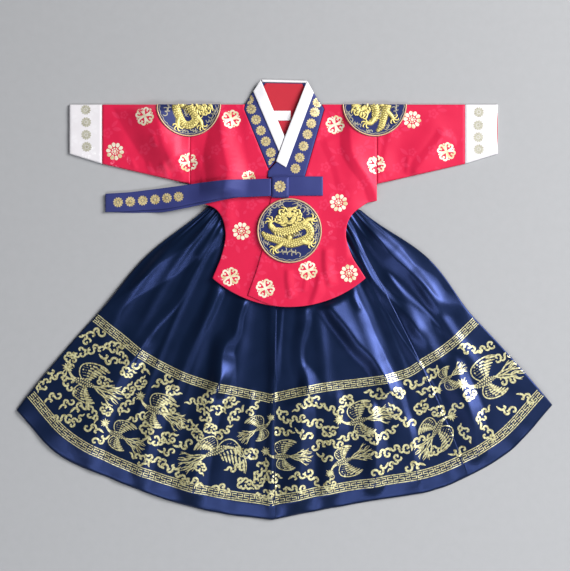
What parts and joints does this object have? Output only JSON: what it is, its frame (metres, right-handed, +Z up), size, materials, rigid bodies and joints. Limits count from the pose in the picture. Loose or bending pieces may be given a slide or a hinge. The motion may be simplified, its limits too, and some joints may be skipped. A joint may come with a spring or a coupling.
{
  "type": "korean hanbok",
  "caption": "Child's ceremonial hanbok laid flat: a red jacket with white cuffs, navy collar, tie and gold roundels over a full navy satin skirt with a gold border",
  "frame": {"origin": "on the underside of the skirt's back, below the jacket's centre line, in the plane the garment lies on", "axes": "+X the viewer's right across the sleeves and hem (the wearer's left), +Y from the hem to the collar, +Z up out of the surface it lies on"},
  "size_m": [0.8026, 0.6599, 0.0202],
  "materials": {
    "navy_satin": "glossy satin with gold foil border",
    "red_silk": "tone-on-tone jacquard satin",
    "white_brocade": "white brocade with gold foil flowers",
    "navy_ribbon": "matte satin with gold foil flowers",
    "white_trim": "plain white",
    "red_lining": "plain woven",
    "gold_embroidery": "gold thread embroidery on navy satin"
  },
  "bodies": {
    "root": {"skirt_back": "navy_satin", "skirt_front": "navy_satin", "waistband": "navy_satin", "jacket_back": "red_silk", "jacket_front_right": "red_silk", "jacket_front_left": "red_silk", "sleeve_right": "red_silk", "sleeve_left": "red_silk", "cuff_right": "white_brocade", "cuff_left": "white_brocade", "collar_back": "navy_ribbon", "collar_right": "navy_ribbon", "collar_left": "navy_ribbon", "tie_long": "navy_ribbon", "tie_under": "navy_ribbon", "tie_knot": "navy_ribbon", "tie_short": "navy_ribbon", "neckband_right": "white_trim", "neckband_left": "white_trim", "neckband_back": "white_trim", "size_label": "white_trim", "neck_lining": "red_lining", "roundel_chest": "gold_embroidery", "roundel_shoulder_right": "gold_embroidery", "roundel_shoulder_left": "gold_embroidery"}
  },
  "joints": []
}
